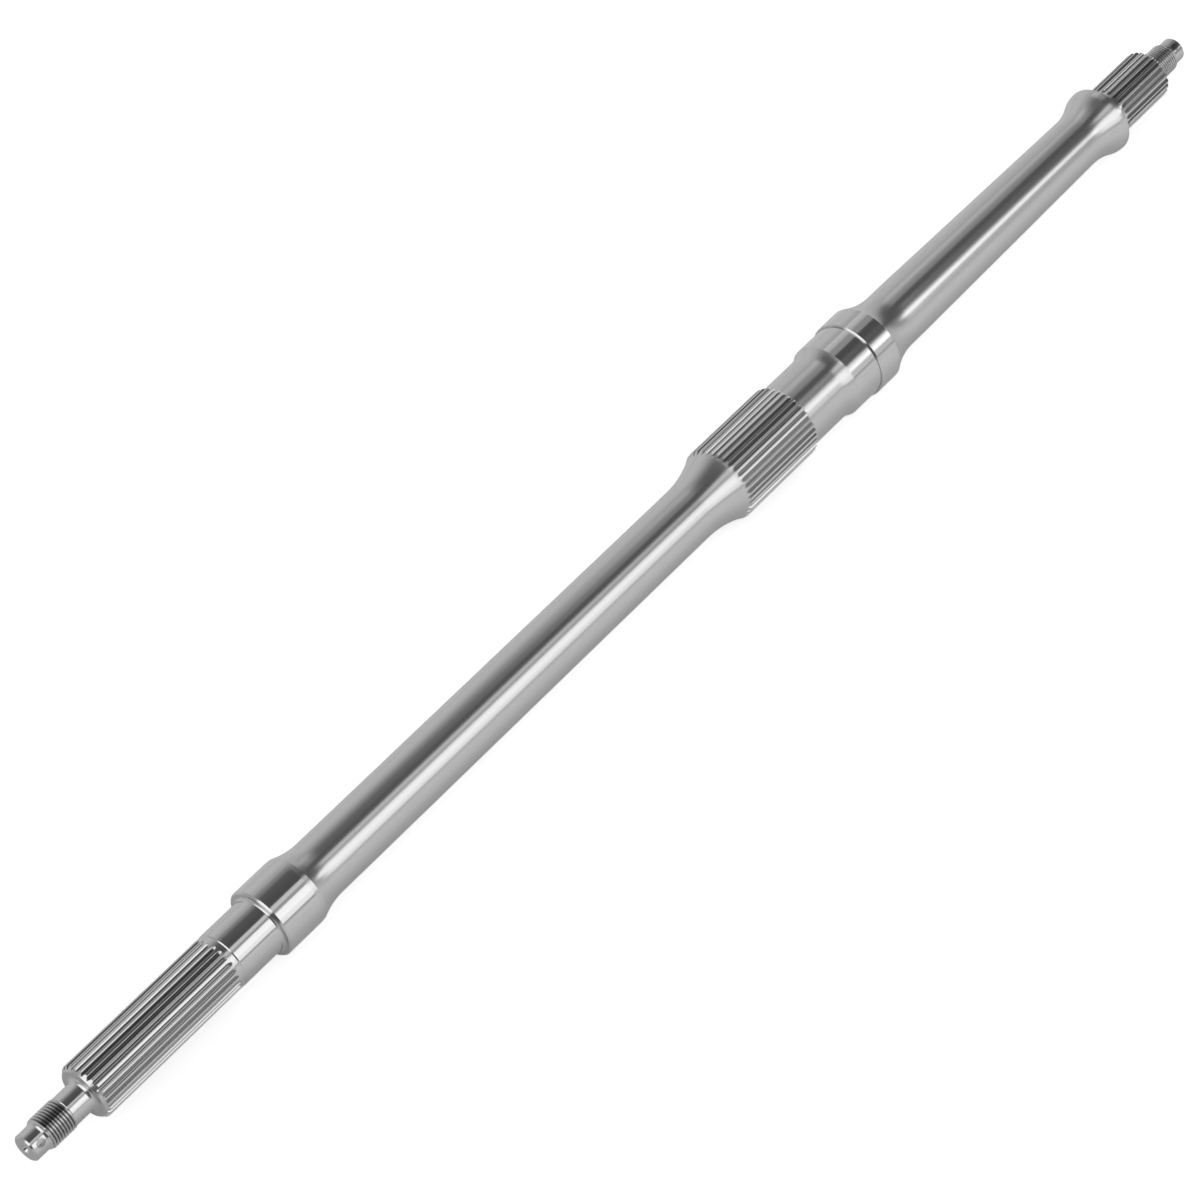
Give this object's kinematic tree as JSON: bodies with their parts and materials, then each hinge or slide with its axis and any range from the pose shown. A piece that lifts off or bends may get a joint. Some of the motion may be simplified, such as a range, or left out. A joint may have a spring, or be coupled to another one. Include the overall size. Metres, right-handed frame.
{
  "type": "splined shaft",
  "caption": "Long turned steel shaft with splines at both ends and near the middle, ground bearing and seal seats, swept shoulders, and a threaded nose with a split-pin hole at each end.",
  "frame": {"origin": "on the shaft's axis, in the middle of the bearing seat beside the long spline", "axes": "+X along the shaft from the long spline towards the short spline; +Y and +Z across it, with the shaft lying level"},
  "size_m": [0.8606, 0.0418, 0.042],
  "materials": {
    "steel": "turned and ground bare steel, bright on the ground bands and satin on the turned lengths"
  },
  "bodies": {
    "root": {"splined_shaft": "steel"}
  },
  "joints": []
}
